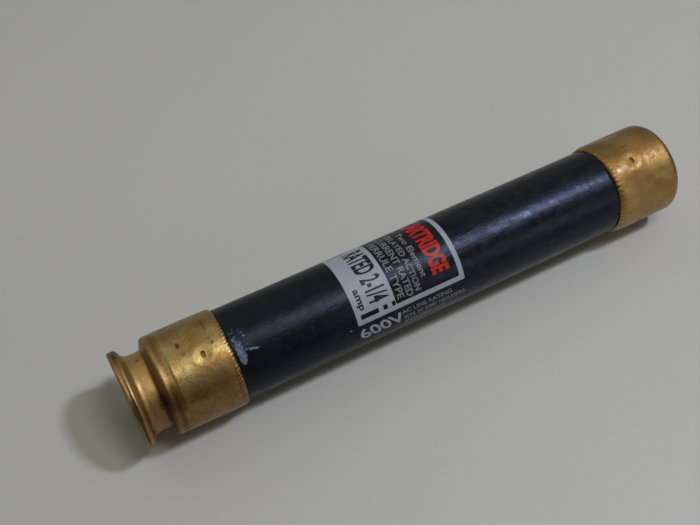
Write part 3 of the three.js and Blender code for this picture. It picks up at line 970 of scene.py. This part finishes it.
def line_round(text, base, top, first, last, weight=0.0, lift=0.0):
    """A line of print that reads round the fuse from one print angle to another."""
    width = math.radians(first - last) * LABEL_RADIUS
    return bend(lettering(text, top - base, width, weight), base, first, True, lift)


def line_along(text, start, end, low, high, weight=0.0, slope=0.0):
    """A line of print that reads along the fuse."""
    height = math.radians(high - low) * LABEL_RADIUS
    return bend(lettering(text, height, end - start, weight, slope), start, low, False)


def rounded_box(left, right, low, high, size=0.3, steps=4):
    """A box with round corners, from x to x and from print angle to print angle, in millimetres."""
    low, high = (math.radians(a) * LABEL_RADIUS for a in (low, high))
    corners = ((right, high, 0), (left, high, 90), (left, low, 180), (right, low, 270))
    loop = []
    for u, v, turn in corners:
        for step in np.radians(np.linspace(turn, turn + 90, steps + 1)):
            middle = (u - math.copysign(size, u - (left + right) / 2),
                      v - math.copysign(size, v - (low + high) / 2))
            loop.append((middle[0] + size * math.cos(step), middle[1] + size * math.sin(step)))
    return loop


def label_print():
    """The silver panel with its dark window and bars, the voltage, and the words in the other inks."""
    bars = ((-16.4, -12.4), (-11.35, -10.4), (-9.37, -8.6))
    panel = flat_shape([
        rounded_box(-17.4, 7.4, -34.4, 101),
        rounded_box(-8.5, 6.35, -27.7, 95, 0.4),
        *(rounded_box(left, right, -27.9, -21.8, SHARP) for left, right in bars),
        rounded_box(-16.4, -12.4, 77.5, 84, SHARP),
    ])
    voltage = line_along("600V", -17.3, -7.9, -57.5, -41.2, 0.018, -0.3)
    printed("label_panel_print", "silver_ink", [bend(panel, 0, 0, False), voltage])
    printed("label_black_print", "black_ink", [
        line_round("RATED", -13.65, -9.65, 66, 22.5, 0.034, INK / 2),
        line_round("2-1/4", -13.65, -9.65, 17.5, -14.5, 0.028, INK / 2),
        line_round("amp", -16.1, -14.75, 9.5, -17, 0.03, INK / 2),
    ])
    printed("label_white_print", "white_ink", [
        line_round("FERRULE TYPE", -7.85, -6.4, 66, -23, THIN),
        line_round("CURRENT RATED", -5.75, -4.35, 72, -25, THIN),
        line_round("DELAYED ACTION", -3.72, -2.47, 70, -22.5, THIN),
        line_round("Two Element", -1.65, -0.35, 62, -10, THIN),
        line_along("AC LINE RATING", -7.5, 4.2, -46, -40, THIN, ITALIC),
        line_along("FITS 30 AMP HOLDERS", -7.3, 7.3, -56, -50, THIN, ITALIC),
        line_along("ENCLOSED LINK", -7.0, 2.8, -66, -60, THIN, ITALIC),
    ])
    printed("label_red_print", "red_ink", [line_round("CARTRIDGE", 1.05, 4.6, 82, -13.5, 0.045)])


# ---------------- inner pieces

LINK_WIDTH, LINK_THICKNESS, SLOT_ROOM = 4.0, 0.3, 0.3
NOTCH_RADIUS, NOTCH_PITCH, NOTCHES = 1.4, 6.6, 5
ROD_BORE, SLEEVE_BORE = 1.56, 6.45


def slotted(name, node, slot, ease_by=0.1, reshape=None, columns=144, longest=0.8):
    """A plug or disc with the slot that a link passes through."""
    start, end, radius = span(node)
    outline = eased([(start, 0), (start, radius), (end, radius), (end, 0)], ease_by)
    piece = turned(name, outline, columns=columns, longest=longest, reshape=reshape)
    half_width, half_height = LINK_WIDTH / 2 + SLOT_ROOM, LINK_THICKNESS / 2 + SLOT_ROOM
    cut(piece, block("slot", (start - 1, -half_width, -half_height), (end + 1, half_width, half_height)))
    keep(piece, slot, node)


def sand_filler(node, seed):
    """A plug of compacted grains."""
    chance = np.random.default_rng(seed)

    def grains(x, radius, angle):
        inward = 0.09 * chance.random(x.shape) * ease(radius, 0.2, 1.5)
        return x + 0.05 * (chance.random(x.shape) - 0.5), radius - inward

    slotted(f"{node}_plug", node, "quartz_sand", 0.2, grains, columns=180, longest=0.35)


def fuse_link(node):
    """A ribbon with pairs of round notches."""
    low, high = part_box(node)
    start, end, half = low.x / MM, high.x / MM, high.y / MM
    middle = (start + end) / 2
    centres = [middle + (i - (NOTCHES - 1) / 2) * NOTCH_PITCH for i in range(NOTCHES)]
    notches = [p for c in centres for p in arc(c, -half, NOTCH_RADIUS, 180, 0, 18)]
    lower = [(start, -half), *notches, (end, -half)]
    points, faces = unpacked(flat_shape([lower + [(u, -v) for u, v in reversed(lower)]]))
    points[:, 2] *= LINK_THICKNESS
    keep(new_piece(f"{node}_ribbon", points, faces), "link_copper", node)


def solder_dome(node, side, seed):
    """A low dome of solder that stands out from a face towards +X or -X."""
    start, end, radius = span(node)
    foot = start if side > 0 else end
    height = end - start
    bulge = [(foot + side * height * math.sin(a), radius * math.cos(a) ** 0.8)
             for a in np.linspace(0, 0.49 * math.pi, 12)]

    def lumpy(x, r, angle):
        return x, r * (1 + 0.035 * ripples(x, angle, seed, 5, 0.8))

    outside = [(foot, 0), *bulge, (foot + side * height, 0)]
    piece = turned(f"{node}_dome", outside, longest=0.3, reshape=lumpy)
    keep(piece, "solder", node)


def plain_turned(node, slot, outline, body=CARTRIDGE, ease_by=0.12, closed=False):
    piece = turned(f"{node}_piece", eased(outline, ease_by, closed), longest=0.9)
    keep(piece, slot, node, body)


def ring(node, slot, bore, body=CARTRIDGE, ease_by=0.12):
    start, end, radius = span(node)
    outline = [(start, bore), (start, radius), (end, radius), (end, bore)]
    plain_turned(node, slot, outline, body, ease_by, closed=True)


def trigger_barrel():
    start, end, radius = span("trigger_barrel")
    bore, wall, lip, lip_bore = 5.4, 1.0, 0.3, 5.0
    outline = [
        *((start, 0), (start, radius), (end, radius), (end, lip_bore), (end - lip, lip_bore)),
        *((end - lip, bore), (start + wall, bore), (start + wall, 0)),
    ]
    plain_turned("trigger_barrel", "inner_brass", outline, ease_by=0.25)


def trigger_plunger():
    start, end, head_radius = span("trigger_plunger")
    radius, head, taper = 1.5, 0.65, 0.4
    outline = [
        *((start, 0), (start, head_radius), (start + head, head_radius), (start + head, radius)),
        *((end - taper, radius), (end, radius - taper), (end, 0)),
    ]
    plain_turned("trigger_plunger", "plunger_copper", outline, TRIGGER)


def heat_absorber():
    start, stem_end, radius = span("heat_absorber")
    body_end, socket, socket_depth, stem = 9.2, 1.9, 3.0, 1.1
    outline = [
        *((start + socket_depth, 0), (start + socket_depth, socket), (start, socket), (start, radius)),
        *((body_end, radius), (body_end, stem), (stem_end, stem), (stem_end, 0)),
    ]
    plain_turned("heat_absorber", "plunger_copper", outline)


def heater_bobbin():
    start, end, flange = span("heater_bobbin")
    core, bore, thick = 2.3, 1.3, 0.7
    outline = [
        *((start, bore), (start, flange), (start + thick, flange), (start + thick, core)),
        *((end - thick, core), (end - thick, flange), (end, flange), (end, bore)),
    ]
    plain_turned("heater_bobbin", "ceramic", outline, closed=True)


def terminal_disc():
    start, end, radius = span("terminal_disc")
    plain_turned("terminal_disc", "inner_brass", [(start, 0), (start, radius), (end, radius), (end, 0)])


SPRING_RADIUS, SPRING_WIRE, SPRING_TURNS = 3.4, 0.35, 4.25


def trigger_spring():
    """The spring between the collar and the bush."""
    low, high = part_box("trigger_spring")
    start, end = low.x / MM + SPRING_WIRE, high.x / MM - SPRING_WIRE
    turns = np.linspace(0, SPRING_TURNS, int(SPRING_TURNS * 48))
    share = turns / SPRING_TURNS
    path = around(start + (end - start) * share, SPRING_RADIUS, TURN * turns)
    piece = tube_along("trigger_spring_coil", path, SPRING_WIRE)
    piece.data.materials.append(materials["spring_steel"])
    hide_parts("trigger_spring")
    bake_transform(piece)


def heater_winding():
    """The resistance wire's coil on the bobbin, with its two ends led over the flanges."""
    low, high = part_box("heater_winding")
    bobbin_start, bobbin_end, _ = span("heater_bobbin")
    radius, lead_radius, wire, turns, inset = 2.85, 4.75, 0.22, 6, 1.15
    first, last = bobbin_start + inset, bobbin_end - inset
    lead_in = [(low.x / MM, lead_radius, -0.25), (first - 0.1, lead_radius, -0.25),
               (first, (lead_radius + radius) / 2, -0.14)]
    coil = [(first + (last - first) * t / turns, radius, t) for t in np.linspace(0, turns, turns * 12 + 1)]
    lead_out = [(last, (lead_radius + radius) / 2, turns + 0.14), (last + 0.1, lead_radius, turns + 0.25),
                (high.x / MM, lead_radius, turns + 0.25)]
    knots = np.array([around(x, r, TURN * t) for x, r, t in [*lead_in, *coil, *lead_out]])
    place = np.arange(len(knots))
    fine = np.linspace(0, len(knots) - 1, 4 * len(knots))
    path = np.stack([np.interp(fine, place, knots[:, k]) for k in range(3)], axis=-1)
    smooth = path.copy()
    smooth[1:-1] = (path[:-2] + 2 * path[1:-1] + path[2:]) / 4
    keep(tube_along("heater_winding_wire", smooth, wire, 10), "resistance_wire", "heater_winding")


def inner_pieces():
    for end in ("rejection", "plain"):
        slotted(f"{end}_end_washer_board", f"{end}_end_washer", "washer_fibre")
        slotted(f"{end}_barrier_board", f"{end}_barrier_disc", "washer_fibre")
        fuse_link(f"{end}_fuse_link")
    sand_filler("rejection_sand_filler", 31)
    sand_filler("plain_sand_filler", 32)
    solder_dome("rejection_end_solder", 1, 41)
    solder_dome("plain_end_solder", -1, 42)
    solder_dome("rejection_link_solder", -1, 43)
    solder_dome("plain_link_solder", 1, 44)
    ring("insulating_sleeve", "sleeve_paper", SLEEVE_BORE)
    trigger_barrel()
    ring("spring_bush", "ceramic", ROD_BORE)
    trigger_plunger()
    ring("spring_collar", "inner_brass", ROD_BORE, TRIGGER)
    trigger_spring()
    ring("fusing_alloy", "solder", ROD_BORE, ease_by=0.08)
    heat_absorber()
    heater_bobbin()
    heater_winding()
    terminal_disc()


# ---------------- scene

def add_floor():
    """A plain surface under the fuse."""
    half = FLOOR_SIZE / 2
    level = cad_box[0][2] / MM
    corners = [(-half, -half, level), (half, -half, level), (half, half, level), (-half, half, level)]
    floor = new_piece("floor", np.array(corners, float), [(0, 1, 2, 3)])
    floor.data.materials.append(floor_laminate())


add_camera()
add_studio()
add_floor()
materials = make_materials()
rejection_ferrule()
plain_ferrule()
fuse_tube()
label_wrap()
label_print()
inner_pieces()
